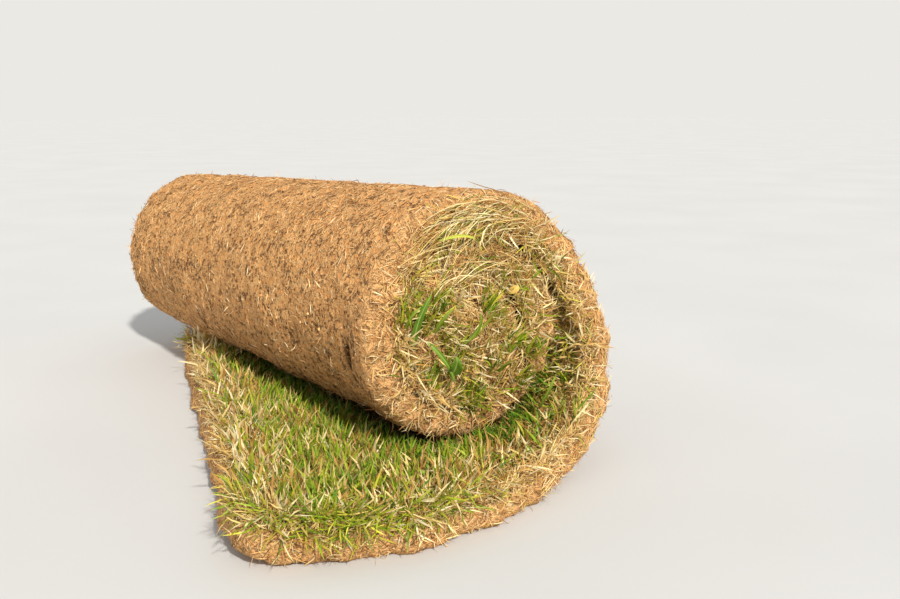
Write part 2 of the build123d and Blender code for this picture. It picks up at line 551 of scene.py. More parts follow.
def bed(name, angle, along, side, face, lean, growth=1.0, dry=0.5, reach=1.0, deep=0.0):
    """A flat bed that blades grow from: numbers or arrays over its rows and columns.

    face and lean are directions in the strip's own frame. growth thins the blades, dry is the share of dry
    ones, reach shortens them, and the last one makes their colours darker, or paler where it is negative. It is
    their own tone, and near the roll's foot it is painted shade."""
    shape = np.broadcast(angle, along).shape
    cells = np.arange(shape[0] * shape[1]).reshape(shape)
    faces = np.stack([cells[:-1, :-1], cells[:-1, 1:], cells[1:, 1:], cells[1:, :-1]], axis=-1).reshape(-1, 4)

    def columns(*parts):
        return np.stack([np.broadcast_to(part, shape) for part in parts], axis=-1).reshape(-1, len(parts))

    mesh = bpy.data.meshes.new(name)
    mesh.from_pydata(columns(angle * TAIL_RADIUS, along, side).tolist(), [], faces.tolist())
    add_layers(
        mesh, growth=columns(growth), dry=columns(dry), reach=columns(reach), deep=columns(deep),
        angle=columns(angle), along=columns(along), side=columns(side),
        face=columns(*face), lean=columns(*lean),
    )
    return mesh


# Blades and clods to scatter

BLADES = {
    # seed of their draws, how many, steps, width, least and most bend, twist, and whether flat in its plane
    "root_hair": (3, 10, 3, 0.052, (0.3, 2.8), 0.5, False),
    "grass_blade": (4, 8, 3, 0.070, (0.1, 1.2), 0.9, False),
    "straw_blade": (5, 8, 3, 0.050, (0.2, 1.8), 1.2, False),
    "long_dry_blade": (6, 8, 6, 0.015, (0.3, 1.0), 0.0, True),
    "fine_blade": (9, 8, 4, 0.055, (0.0, 0.9), 0.8, False),
}


def ribbon(name, points, widths, across):
    """A tapering ribbon along points, with its UV map from root to tip."""
    verts, uvs = [], []
    for i, (point, wide) in enumerate(zip(points, widths)):
        share = i / (len(points) - 1)
        if wide > 0:
            verts += [point - across[i] * wide / 2, point + across[i] * wide / 2]
            uvs += [(0.0, share), (1.0, share)]
        else:
            verts.append(point)
            uvs.append((0.5, share))
    faces = [(2 * i, 2 * i + 1, 2 * i + 3, 2 * i + 2) for i in range(len(points) - 2)]
    tip = len(verts) - 1
    mesh = bpy.data.meshes.new(name)
    mesh.from_pydata(verts, [], faces + [(tip - 2, tip - 1, tip)])
    lay_uvs(mesh, uvs)
    return mesh


def blade_kinds(kind):
    """A collection of unit-long blades: bent toward +X, upright along +Z, each with its own twist."""
    seed, count, steps, width, (least, most), twist, in_plane = BLADES[kind]
    rng = np.random.default_rng(seed)
    shelf = bpy.data.collections.new(kind)
    for k in range(count):
        bend = least + (most - least) * k / (count - 1)
        points, across = [Vector()], []
        heading, spin = rng.uniform(-0.15, 0.15), rng.uniform(-0.4, 0.4)
        wobble = rng.uniform(-1, 1, steps) * 0.25 * min(1.0, bend + 0.2)
        for i in range(steps):
            heading += bend / steps + wobble[i]
            points.append(points[-1] + Vector((math.sin(heading), 0, math.cos(heading))) / steps)
        for i in range(steps + 1):
            a = spin + twist * i / steps * rng.uniform(0.5, 1.0)
            run = (points[min(i + 1, steps)] - points[max(i - 1, 0)]).normalized()
            normal = Vector((run.z, 0, -run.x))
            across.append(normal if in_plane else Vector((0, 1, 0)) * math.cos(a) + normal * math.sin(a))
        widths = [width * (0.75 if i == 0 else 1.0 - 0.5 * (i / steps) ** 2) for i in range(steps)] + [0]
        name = f"{kind}_{k}"
        shelf.objects.link(bpy.data.objects.new(name, ribbon(name, points, widths, across)))
    return shelf


def clod_kinds(kind):
    """A collection of small uneven clods."""
    rng = np.random.default_rng(8)
    shelf = bpy.data.collections.new(kind)
    for k in range(6):
        work = bmesh.new()
        bmesh.ops.create_icosphere(work, subdivisions=1, radius=0.5)
        layer = work.loops.layers.uv.new(UV_NAME)
        stretch = Vector(rng.uniform(0.6, 1.1, 3))
        for vert in work.verts:
            vert.co = vert.co * stretch * rng.uniform(0.75, 1.15)
        for face in work.faces:
            for loop in face.loops:
                loop[layer].uv = (0.5 + loop.vert.co.x * 0.8, 0.5 + loop.vert.co.z * 0.8)
        mesh = bpy.data.meshes.new(f"{kind}_{k}")
        work.to_mesh(mesh)
        work.free()
        mesh.shade_smooth()
        shelf.objects.link(bpy.data.objects.new(mesh.name, mesh))
    return shelf


# Node trees

LUMP_INPUTS = {"Lump height": 0.006, "Lump size": 0.06}
WIND_INPUTS = {"Crumb height": 0.001, "Crumb size": 0.008, "Material": "Material"}
GROW_INPUTS = {
    "Blades": "Collection", "Density": 10000.0, "Seed": 1, "Shortest": 0.01, "Longest": 0.03, "Wild": 0.3,
    "Flatten": 0.0, "Pull": (0.0, 0.0, 0.0), "Bend": (0.0, 0.0, 0.0), "Droop": 0.0, "Cling": 0.0,
    "Bend scatter": 1.0, "Patch size": 0.05, "Patch depth": 0.5, "Material": "Material",
}
SOCKETS = {float: "Float", int: "Int", tuple: "Vector"}


def open_tree(name, inputs):
    """A geometry tree whose inputs are the strip's sizes, the lumps' and its own: each a default or a kind."""
    tree = bpy.data.node_groups.new(name, "GeometryNodeTree")
    tree.interface.new_socket(name="Geometry", in_out="INPUT", socket_type="NodeSocketGeometry")
    tree.interface.new_socket(name="Geometry", in_out="OUTPUT", socket_type="NodeSocketGeometry")
    for label, given in {**dict.fromkeys(STRIP_SIZES, 0.0), **LUMP_INPUTS, **inputs}.items():
        kind = SOCKETS.get(type(given), given)
        socket = tree.interface.new_socket(name=label, in_out="INPUT", socket_type=f"NodeSocket{kind}")
        if kind is not given:
            socket.default_value = given
    graph = Graph(tree)
    inlet = graph.node("NodeGroupInput")
    values = {socket.name: Value(graph, socket) for socket in inlet.outputs if socket.name}
    return graph, values, SimpleNamespace(**{size: values[size] for size in STRIP_SIZES})


def close_tree(graph, geometry, material):
    """Ends a tree in real, finished mesh that stays off the floor."""
    x, y, z = graph.split(graph.get("GeometryNodeInputPosition"))
    real = graph.move(geometry, graph.combine(x, y, graph.greater(z, FLOOR_GAP)))
    real = graph.get("GeometryNodeRealizeInstances", real)
    graph.node("NodeGroupOutput", graph.get("GeometryNodeSetMaterial", real, None, material))


def strip_frame(graph, sizes):
    """The wound place of each point and its three directions, as vectors."""
    parts = strip_point(graph, sizes, graph.named("angle"), graph.named("along"), graph.named("side"))
    return [graph.combine(*part) for part in parts]


def lumps(graph, values, spot):
    """How far the surface stands up at a wound place."""
    return (graph.noise(spot, 1.0 / values["Lump size"]) - 0.5) * values["Lump height"] * 2.0


def winding_tree(name):
    """Winds a flat-numbered strip into the roll and raises lumps and crumbs on it."""
    g, values, sizes = open_tree(name, WIND_INPUTS)
    wound = g.move(values["Geometry"], strip_frame(g, sizes)[0])
    spot = g.get("GeometryNodeInputPosition")
    crumbs = g.noise(spot, 1.0 / values["Crumb size"], 3.0, 0.6) - 0.5
    rise = lumps(g, values, spot) + crumbs * values["Crumb height"] * (2.0 + g.named("cut") * 3.0)
    rough = g.move(wound, None, g.vector("SCALE", g.get("GeometryNodeInputNormal"), rise))
    close_tree(g, g.get("GeometryNodeSetShadeSmooth", rough, None, True), values["Material"])
    return g.tree


def scatter_tree(name):
    """Winds a bed and grows blades on it."""
    g, values, sizes = open_tree(name, GROW_INPUTS)
    seed = values["Seed"]
    wound = g.move(values["Geometry"], strip_frame(g, sizes)[0])
    spot = g.get("GeometryNodeInputPosition")
    patch = (g.noise(spot, 1.0 / values["Patch size"]) - 0.5) * values["Patch depth"] * 4.0
    density = values["Density"] * g.named("growth") * g.greater(patch * 0.5 + 1.0, 0.05)
    points = g.get("GeometryNodeDistributePointsOnFaces", wound, None, density, seed)
    place, core, far, grass = strip_frame(g, sizes)

    def own_frame(vector):
        """A vector given toward the core, the far end and the grass side, as it is in the room."""
        t, a, s = g.split(vector)
        total = g.vector("ADD", g.vector("SCALE", core, t), g.vector("SCALE", far, a))
        return g.vector("ADD", total, g.vector("SCALE", grass, s))

    def wild(step):
        """A random direction."""
        return g.vector("NORMALIZE", g.random((-1.0,) * 3, (1.0,) * 3, seed + step, "FLOAT_VECTOR"))

    face = own_frame(g.named("face", "FLOAT_VECTOR"))
    stray = wild(11)
    outward = g.vector("DOT_PRODUCT", stray, face) * values["Flatten"]
    stray = g.vector("SUBTRACT", stray, g.vector("SCALE", face, outward))
    aim = g.vector("ADD", own_frame(g.named("lean", "FLOAT_VECTOR")), g.vector("SCALE", stray, values["Wild"]))
    aim = g.vector("ADD", aim, values["Pull"])
    upright = g.get("FunctionNodeAlignRotationToVector", None, None, aim, axis="Z")
    bend = g.vector("ADD", own_frame(values["Bend"]), g.vector("SCALE", wild(23), values["Bend scatter"]))
    bend = g.vector("ADD", bend, g.combine(0.0, 0.0, values["Droop"] * -1.0))
    bend = g.vector("SUBTRACT", bend, g.vector("SCALE", face, values["Cling"]))
    turned = g.get("FunctionNodeAlignRotationToVector", upright, None, bend, axis="X", pivot_axis="Z")
    size = g.random(0.0, 1.0, seed + 31)
    size = (values["Shortest"] + (values["Longest"] - values["Shortest"]) * size) * g.named("reach")
    broad = size * g.random(0.75, 1.3, seed + 37)
    which = g.random(0, 1000, seed + 41, "INT")
    shelf = g.get("GeometryNodeCollectionInfo", values["Blades"], True, True)
    lifted = g.move(points, None, g.vector("SCALE", face, lumps(g, values, place)))
    scales = g.combine(size, broad, size)
    blades = g.get("GeometryNodeInstanceOnPoints", lifted, None, shelf, True, which, turned, scales)

    # Dry blades have the palette's first half and fresh ones its second. The darkening attribute picks the
    # later, darker colours of each, as a tone and as painted shade under the roll's foot, and the earlier,
    # paler ones where it is negative
    chance, shade = g.random(0.0, 1.0, seed + 43), g.random(0.0, 0.999, seed + 47)
    deep = g.named("deep") * 0.75
    shade = shade + (0.999 - shade) * g.greater(deep, 0.0) + shade * g.lesser(deep, 0.0)
    is_dry = g.less(chance, g.named("dry") - patch * 0.5)
    tint = g.pick(is_dry, shade * 0.5, shade * 0.5 + 0.5)
    real = g.get("GeometryNodeRealizeInstances", g.store(blades, "tint", tint, domain="INSTANCE"))
    u, v, _ = g.split(g.named(UV_NAME, "FLOAT_VECTOR"))
    column = g.maths("FLOOR", g.named("tint") * float(PALETTE))
    spread = g.combine((column + u * 0.8 + 0.1) / float(PALETTE), v * 0.96 + 0.02, 0.0)
    close_tree(g, g.store(real, UV_NAME, spread, "FLOAT2", "CORNER"), values["Material"])
    return g.tree


def finish_piece(piece):
    """Attaches a piece to the body it rides on and hides the solid's part that the pieces stand in for."""
    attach(piece, BODY)
    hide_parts(NODE)


def make_piece(mesh, tree, inputs):
    """Runs a tree on a flat mesh and keeps the result as a plain piece of the mesh's name."""
    name = mesh.name
    source = new_object(name + "_bed", mesh)
    modifier = source.modifiers.new(tree.name, "NODES")
    modifier.node_group = tree
    strip, looks = settings()
    inputs = {"Lump height": looks.lump_height, "Lump size": looks.lump_size, **inputs}
    for item in tree.interface.items_tree:
        if item.in_out == "INPUT" and item.socket_type != "NodeSocketGeometry":
            value = getattr(strip, item.name) if item.name in STRIP_SIZES else inputs.get(item.name)
            if value is not None:
                modifier[item.identifier] = value
    source.update_tag()
    graph = bpy.context.evaluated_depsgraph_get()
    result = bpy.data.meshes.new_from_object(source.evaluated_get(graph), depsgraph=graph)
    source.modifiers.remove(modifier)
    bpy.data.objects.remove(source)
    result.name = name
    if not result.polygons:
        raise RuntimeError(name + " came out empty")
    piece = new_object(name, result)
    result.calc_loop_triangles()
    print("made", name, "triangles", len(result.loop_triangles))
    finish_piece(piece)


def shared(store, name, make):
    """A material, collection or tree made once and found again by name."""
    return store.get(name) or make(name)


def grow(mesh, blades, look, make=blade_kinds, **inputs):
    """Grows blades of a kind and look on a bed."""
    inputs = {label.replace("_", " "): value for label, value in inputs.items()}
    inputs["Blades"] = shared(bpy.data.collections, blades, make)
    inputs["Material"] = shared(bpy.data.materials, look, blade_material)
    make_piece(mesh, shared(bpy.data.node_groups, "Grow blades", scatter_tree), inputs)


# Materials

BLADE_LOOKS = {
    # dry and fresh colours, root, tip, and roughness: screen colours, or the names of colours in the looks
    "grass_blades": (
        ((240, 226, 182), (234, 214, 158), "straw", (228, 200, 128), (218, 184, 110), (202, 158, 86),
         (184, 136, 70), (160, 114, 56)),
        ((206, 196, 70), "yellow_green", (172, 184, 46), (158, 172, 36), (140, 164, 32), "green",
         (104, 142, 26), (80, 120, 24)),
        (206, 178, 100), (210, 190, 90), 0.5,
    ),
    "root_hairs": (
        # The darkest colours, (122, 78, 40) and (112, 70, 36), are painted shade for the gaps between the hairs
        ("hair", (226, 168, 104), (180, 124, 70), (255, 232, 186), (122, 78, 40)),
        ((240, 188, 122), (204, 150, 88), (254, 220, 166), (112, 70, 36), "hair"),
        (190, 134, 76), (246, 208, 150), 0.8,
    ),
    "leaf_blades": (
        ((226, 180, 96), (232, 192, 112)),
        ((104, 142, 36), (116, 152, 38), (134, 164, 42), (150, 172, 46), (184, 184, 62)),
        (150, 164, 70), (154, 178, 62), 0.42,
    ),
    "soil_clods": (
        ((206, 152, 96), "soil_light", (188, 134, 82), (156, 106, 62)),
        ((204, 150, 96), "soil_dark", (146, 98, 58), (212, 160, 104)),
        (146, 100, 60), (220, 168, 112), 0.9,
    ),
    "dry_matting": (
        ((246, 210, 146), (238, 194, 126), (228, 178, 108), (252, 230, 178), (204, 150, 84), (242, 204, 136)),
        ((234, 188, 118), (250, 222, 160), (206, 190, 84), (184, 130, 70), (246, 210, 146)),
        (226, 184, 120), (244, 214, 154), 0.7,
    ),
}


def new_material(name):
    material = bpy.data.materials.new(name)
    material.use_nodes = True
    material.node_tree.nodes.clear()
    graph = Graph(material.node_tree)
    shader = graph.node("ShaderNodeBsdfPrincipled")
    graph.node("ShaderNodeOutputMaterial", Value(graph, shader.outputs[0]))
    return material, graph, shader


def dim(shade, share):
    return tuple(c * share for c in shade)


def grey(value):
    return (value,) * 3


def soil_material(name):
    """Peat and root felt: mottled, pitted and crossed by fine roots, paler and more fibrous on cut edges.
    Painted shade darkens its pits, the crack and the thatch under the roll's foot.
    """
    material, g, shader = new_material(name)
    _, looks = settings()
    place = g.get("ShaderNodeTexCoord", out=3)
    broad = g.noise(place, 9.0, 3.0, 0.55)
    mottle = g.noise(place, 95.0, 4.0, 0.62)
    grain = g.noise(place, 420.0, 3.0, 0.6)
    swirl = g.noise(place, 60.0, out=1)
    bent = g.vector("ADD", place, g.vector("SCALE", g.vector("SUBTRACT", swirl, grey(0.5)), 0.012))
    strands = []
    for scale, squash in ((150.0, (1.0, 0.35, 1.0)), (190.0, (0.4, 1.0, 0.8))):
        stretched = g.vector("MULTIPLY", bent, squash)
        edge = g.get("ShaderNodeTexVoronoi", stretched, scale, feature="DISTANCE_TO_EDGE")
        strands.append(g.smooth(0.10, 0.02, edge))
    strand = g.greater(*strands)
    stops = ((0.40, looks.soil_dark), (0.475, looks.soil), (0.54, looks.soil), (0.63, looks.soil_light))
    base = g.ramp(mottle * 0.65 + grain * 0.35, *stops)
    base = g.mix((broad - 0.35) * 0.9, base, dim(looks.soil, 0.80))
    base = g.mix(strand * 0.45, base, looks.hair)
    # Pits: sunk in the bump, and darkened in colour as painted shade in them
    pit_size = g.noise(place, 40.0) - 0.5
    pits = g.smooth(0.57, 0.65, g.noise(place, 260.0, 3.0, 0.55) + pit_size * 0.35)
    base = g.mix(pits * 0.74, base, dim(looks.soil_dark, 0.7))
    stops = ((0.32, dim(looks.cut, 0.5)), (0.5, looks.cut), (0.68, looks.hair))
    base = g.mix(g.painted("cut") * 0.7, base, g.ramp(grain * 0.5 + mottle * 0.5, *stops))
    thatch = g.ramp(grain, (0.3, dim(looks.thatch, 0.35)), (0.5, looks.thatch), (0.7, looks.straw))
    # Painted shade: the thatch darkens under the roll's foot
    thatch = g.mix(g.painted("damp") * 0.8, thatch, dim(looks.thatch, 0.18))
    base = g.mix(g.painted("grassy"), base, thatch)
    # Painted shade in the crack behind the flared edge
    base = g.mix(g.smooth(0.03, 0.3, g.painted("gap")) * 0.92, base, dim(looks.soil_dark, 0.4))
    g.wire(base, shader, "Base Color")
    bump = g.node("ShaderNodeBump", 1.0, 0.0055)
    g.wire(mottle * 0.6 + grain * 0.4 + strand * 0.25 - pits * 0.5, bump, "Height")
    g.wire(Value(g, bump.outputs[0]), shader, "Normal")
    g.wire(g.ramp(grain, (0.2, grey(0.98)), (0.8, grey(0.86))), shader, "Roughness")
    shader.inputs["Specular IOR Level"].default_value = 0.22
    return material


def blade_material(name):
    """Blades coloured from their UV map: a colour for each column, changing from root to tip."""
    material, g, shader = new_material(name)
    _, looks = settings()

    def shade(given):
        return getattr(looks, given) if isinstance(given, str) else linear(*given)

    dry, fresh, root, tip, rough = BLADE_LOOKS[name]
    u, v, _ = g.split(g.get("ShaderNodeUVMap", uv_map=UV_NAME))
    column = g.maths("FLOOR", u * float(PALETTE)) / float(PALETTE)
    stops = [(0.5 * i / len(dry), shade(given)) for i, given in enumerate(dry)]
    stops += [(0.5 + 0.5 * i / len(fresh), shade(given)) for i, given in enumerate(fresh)]
    base = g.ramp(column, *stops)
    base.socket.node.color_ramp.interpolation = "CONSTANT"
    lit = g.get("ShaderNodeTexWhiteNoise", column, noise_dimensions="1D") * 0.5 + 0.72
    base = g.mix(1.0, base, g.get("ShaderNodeCombineColor", lit, lit, lit), "MULTIPLY")
    base = g.mix(g.smooth(0.30, 0.0, v) * 0.75, base, shade(root))
    base = g.mix(g.smooth(0.80, 1.0, v) * 0.5, base, shade(tip))
    g.wire(base, shader, "Base Color")
    g.wire(g.ramp(v, (0.0, grey(min(rough + 0.2, 1.0))), (1.0, grey(rough))), shader, "Roughness")
    shader.inputs["Specular IOR Level"].default_value = 0.3
    return material


def leaf_material(name):
    """Broad leaves: a pale midrib and fine ribs beside it."""
    material = blade_material(name)
    g, shader = Graph(material.node_tree), material.node_tree.nodes["Principled BSDF"]
    u, _, _ = g.split(g.get("ShaderNodeUVMap", uv_map=UV_NAME))
    place = g.maths("FRACT", u * float(PALETTE))
    middle_rib = g.smooth(0.07, 0.02, g.maths("ABSOLUTE", place - 0.5))
    ribs = g.maths("PINGPONG", place, 0.05) * 20.0
    base = Value(g, shader.inputs["Base Color"].links[0].from_socket)
    base = g.mix(ribs * 0.22, base, linear(70, 118, 34))
    g.wire(g.mix(middle_rib * 0.6, base, linear(196, 208, 120)), shader, "Base Color")
    return material


# Where the grass grows, and how


def clearance(s, angle, along):
    """Room over the grass side before the next turn or, on the laid-out end, before the roll."""
    (x, y, z), *_ = strip_point(Plain, s, angle, along, s.thickness / 2)
    across = np.clip(along / s.width + 0.5, 0, 1)
    radius = first_radius(Plain, s, across)
    next_turn = np.maximum(angle, 0) + math.tau
    over = radius - pitch(s, across) * turns_on(Plain, s, next_turn) + s.thickness / 2
    away = np.hypot(x, z - radius - s.thickness / 2 + s.rest_sink) - over
    return np.where(y < -s.width / 2 - 0.004, 1.0, away)


def straw_border(s, angle, along):
    """How dry and bare the grass is toward the strip's edges, from 0 inside to 1 at the edge."""
    out = np.clip(-np.degrees(angle) / 45, 0, 1)
    near = 1 - (s.width / 2 + along) / (NEAR_BORDER - NEAR_LOSS * out)
    far = 1 - (s.width / 2 - along) / FAR_BORDER
    inward = s.tail_length + angle * first_radius(Plain, s, 0.0)
    end = 1 - inward / (END_BORDER + END_GAIN * (along / s.width + 0.5))
    return np.clip(np.maximum(np.maximum(near, far), end), 0, 1)


def shelter_of_roll(s, angle, along):
    """How far a place on the grass side is sheltered, from 0 in the open to 1 close to the roll's foot. The
    grass and thatch there are thinned, and painted shade darkens them.
    """
    (x, y, _), *_ = strip_point(Plain, s, angle, along, s.thickness / 2)
    before = np.clip((-s.width / 2 - y) / SHELTER_FADE, 0, 1)
    beside = np.clip((np.abs(x) - SHELTER_REACH) / SHELTER_FADE, 0, 1)
    return (1 - before) * (1 - beside)


def grass_side(s, inset, back, outer_rows, last):
    """A grid over the laid-out end and up the slack outer turn, and there what the grass grows by.

    Gives the winding angle, the place along the roll, whether the roll hides it, its room and its border."""
    tail = math.degrees(tail_angle(s, s.tail_length - back))
    angle, along = side_grid(s, inset, 80, (tail, 40), (0, outer_rows), (last, 0))
    along = within_corners(s, angle, along)
    hidden = (along > -s.width / 2 + HIDDEN_NEAR) & (along < s.width / 2 - HIDDEN_FAR)
    hidden = hidden & (angle > HIDDEN_FROM)
    return angle, along, hidden, clearance(s, angle, along), straw_border(s, angle, along)


def end_bed(name, s, near, low, high, proud, outward, around=0.0, growth=1.0, dry=0.5, reach=1.0, deep=0.0,
            fill_core=False):
    """A bed along a cut edge of the strip, round the laid-out end's corner and on into the roll.

    It spans from low to high, measured from the strip's middle toward the grass side, and lies proud of the
    edge. Its blades lean outward and around the roll. around, growth, dry and reach may be functions of the
    winding angle and the share of the thickness. fill_core widens it to all the room in the core."""
    end = -1 if near else 1
    first = first_radius(Plain, s, 0.0)
    straight = s.tail_length - s.corner_radius
    corner = [tail_angle(s, straight + s.corner_radius * math.cos(math.pi / 2 * i / 6)) for i in range(6)]
    rows = corner + rail((tail_angle(s, straight), 20), (0.0, 210), (math.tau * s.turns, 0))
    angle, side = mesh_grid(rows, rail((low, 10), (high, 0)))
    if fill_core:
        across = 0.5 + end * 0.5
        radius = first_radius(Plain, s, across) - pitch(s, across) * turns_on(Plain, s, angle)
        innermost = angle > (s.turns - 1) * math.tau
        side = np.where(innermost, low + (radius * 0.98 - low) * (side - low) / (high - low), side)
    past = np.clip((-angle * first - straight) / s.corner_radius, 0, 1)
    forward = np.sqrt(1 - past**2)
    under = np.clip(1 - (side + s.thickness / 2) / SOIL_ROUND, 0, 1)
    upright = np.sqrt(1 - under**2)
    rise = proud - SOIL_ROUND * (1 - upright)
    along = end * (s.width / 2 - s.corner_radius * (1 - forward) + rise * forward)
    share = (side + s.thickness / 2) / s.thickness
    varied = (around, growth, dry, reach)
    around, *values = [part(angle, share) if callable(part) else part for part in varied]
    face = (-past * upright, end * forward * upright, -under)
    lean = (around - past * outward, end * outward * forward, 0.0)
    return bed(name, angle - rise * past / first, along, side, face, lean, *values, deep)


# Operators


class TURF_OT_wind_strip(bpy.types.Operator):
    """Wind the strip of turf with its soil and root felt"""

    bl_idname = "turf.wind_strip"
    bl_label = "Wind strip"

    def execute(self, context):
        s, _ = settings()
        soil = shared(bpy.data.materials, "soil_and_root_felt", soil_material)
        tree = shared(bpy.data.node_groups, "Wind strip", winding_tree)
        inputs = {"Crumb height": 0.0011, "Crumb size": 0.0085, "Material": soil}
        make_piece(strip_lattice("turf_mat", s), tree, inputs)
        return {"FINISHED"}


class TURF_OT_root_hairs(bpy.types.Operator):
    """Lay root hairs over the soil side"""

    bl_idname = "turf.root_hairs"
    bl_label = "Root hairs"

    def execute(self, context):
        s, looks = settings()
        angle, along = side_grid(s, 0.004, 60, (2, 90), (368, 0))
        off_crack = 1 - np.clip(crack(Plain, s, angle, along)[0] * 9, 0, 1)
        growth = np.where(angle < RESTING, 0.3, 1.0) * off_crack
        combed = np.random.default_rng(11).choice((-0.9, 0.9), angle.shape)
        mesh = bed("root_hairs", angle, along, -s.thickness / 2, (0, 0, -1), (0, combed, -0.08), growth)
        grow(mesh, "root_hair", "root_hairs", Density=86000.0, Seed=looks.seed, Shortest=0.005,
             Longest=looks.hair_length, Wild=1.0, Flatten=0.95, Cling=0.75, Bend_scatter=0.8,
             Patch_size=0.05, Patch_depth=0.25)
        return {"FINISHED"}


class TURF_OT_tail_grass(bpy.types.Operator):
    """Grow the grass of the laid-out end and of the slack outer turn"""

    bl_idname = "turf.tail_grass"
    bl_label = "Laid-out grass"

    def execute(self, context):
        s, looks = settings()
        angle, along, hidden, room, border = grass_side(s, 0.003, 0.004, 24, 110)
        far_corner = np.clip((along - FAR_CORNER) / FAR_CORNER, 0, 1)
        shelter = shelter_of_roll(s, angle, along) * (1 - 0.85 * far_corner)
        growth = np.where(hidden, 0.0, np.clip(room / 0.005, 0.0, 1.0))
        growth *= np.clip((0.86 - border) / 0.6, 0.05, 1.0)
        growth *= 1 - 0.35 * shelter
        # Near the roll's foot fewer blades are dry, and their colours are darkened to the full as painted shade
        # under the roll. Elsewhere the darkening is a tone, paler toward the border and the far corner
        dry = (0.46 + 0.52 * border + 0.35 * far_corner) * (1 - 0.7 * shelter)
        deep = shelter + (1 - shelter) * (0.28 - 0.58 * border - 0.8 * far_corner)
        reach = np.clip((room + 0.010) / looks.grass_length, 0.3, 1.0)
        reach *= 1 - 0.3 * shelter
        lean = (-0.1 - 0.8 * (1 - reach), -0.15, 1.0)
        reach = reach * (1 + 0.45 * far_corner)
        side = s.thickness / 2 - 0.001
        mesh = bed("tail_grass", angle, along, side, (0, 0, 1), lean, growth, dry, reach, deep)
        grow(mesh, "grass_blade", "grass_blades", Density=440000.0, Seed=looks.seed + 100, Shortest=0.010,
             Longest=looks.grass_length, Wild=0.9, Droop=0.25, Patch_size=0.028, Patch_depth=0.95)
        return {"FINISHED"}


class TURF_OT_thatch(bpy.types.Operator):
    """Mat dry stems and straw between the blades of the laid-out end and along its edges"""

    bl_idname = "turf.thatch"
    bl_label = "Thatch"

    def execute(self, context):
        s, looks = settings()
        angle, along, hidden, room, border = grass_side(s, 0.0, 0.002, 28, 125)
        growth = np.where(hidden, 0.0, 0.5 + 1.1 * border)
        growth *= 1 - 0.6 * shelter_of_roll(s, angle, along)
        reach = np.clip((room + 0.003) / 0.014, 0.3, 1.0)
        mesh = bed("thatch", angle, along, s.thickness / 2, (0, 0, 1), (0.0, 0.0, 0.35), growth, 1.1, reach,
                   0.4 - 0.4 * border)
        grow(mesh, "straw_blade", "grass_blades", Density=260000.0, Seed=looks.seed + 200, Shortest=0.006,
             Longest=0.017, Wild=1.0, Flatten=0.75, Droop=0.4, Patch_size=0.03, Patch_depth=0.3)
        return {"FINISHED"}


class TURF_OT_end_grass(bpy.types.Operator):
    """Grow the grass that stands out between the turns at both ends, and in the core"""

    bl_idname = "turf.end_grass"
    bl_label = "End grass"

    def execute(self, context):
        s, looks = settings()
        half, last = s.thickness / 2, s.turns * math.tau

        def growth(angle, share):
            laid_out = np.clip(-angle / LAID_OUT, 0, 1)
            outer = np.clip((share - 0.85) * 8, 0.02, 1.0) * np.where(angle < FOOT_END, 0.22, 0.8)
            outer = np.maximum(outer, laid_out * np.clip((share - 0.62) * 5, 0, 1))
            inner = np.clip((share - 0.35) * 2, 0.15, 1.0)
            return np.where(angle < math.tau, outer, inner * 0.6)

        def dry(angle, share):
            laid_out = np.clip(-angle / LAID_OUT, 0, 1)
            rolled = 0.83 + 0.09 * np.cos(angle + math.pi)
            return np.where(angle < FOOT_END, 0.80 - 0.4 * laid_out, rolled)

        def matted(angle, share):
            return np.where(angle < -0.1, 0.35, np.where(angle < math.tau, 0.5 + 0.5 * share, 1.0))

        near_end = ("near", -1, s.near_sward, looks.seed + 300, 280000.0)
        far_end = ("far", 1, s.far_sward, looks.seed + 400, 220000.0)
        for where, end, sward, seed, thatch_density in (near_end, far_end):
            near = end < 0
            mesh = end_bed(where + "_end_grass", s, near, -half * 0.2, half + sward + 0.003, -0.003, 0.5,
                           growth=growth, dry=dry, deep=-0.25)
            grow(mesh, "fine_blade", "grass_blades", Density=330000.0, Seed=seed, Shortest=0.009,
                 Longest=0.026, Wild=0.7, Flatten=0.45, Pull=(0.0, 0.0, 0.4), Droop=0.3, Patch_size=0.045,
                 Patch_depth=0.8)
            mesh = end_bed(where + "_end_thatch", s, near, -half * 0.6, half + sward, 0.0, 0.14,
                           growth=matted, fill_core=True)
            grow(mesh, "straw_blade", "dry_matting", Density=thatch_density, Seed=seed + 50, Shortest=0.007,
                 Longest=0.017, Wild=1.0, Flatten=0.93, Cling=0.8, Bend_scatter=0.8, Patch_size=0.03,
                 Patch_depth=0.3)
            angle, inset = mesh_grid(rail((last - math.tau, 24), (last - 0.05, 0)), rail((0.0, 4), (0.035, 0)))
            mesh = bed(where + "_core_grass", angle, end * (s.width / 2 - inset), half, (0, 0, 1),
                       (0.0, end * 0.5, 1.0), dry=0.85, reach=0.8, deep=-0.2)
            grow(mesh, "grass_blade", "grass_blades", Density=330000.0, Seed=seed + 70, Shortest=0.010,
                 Longest=0.022, Wild=0.8, Patch_size=0.04, Patch_depth=0.1)
        return {"FINISHED"}


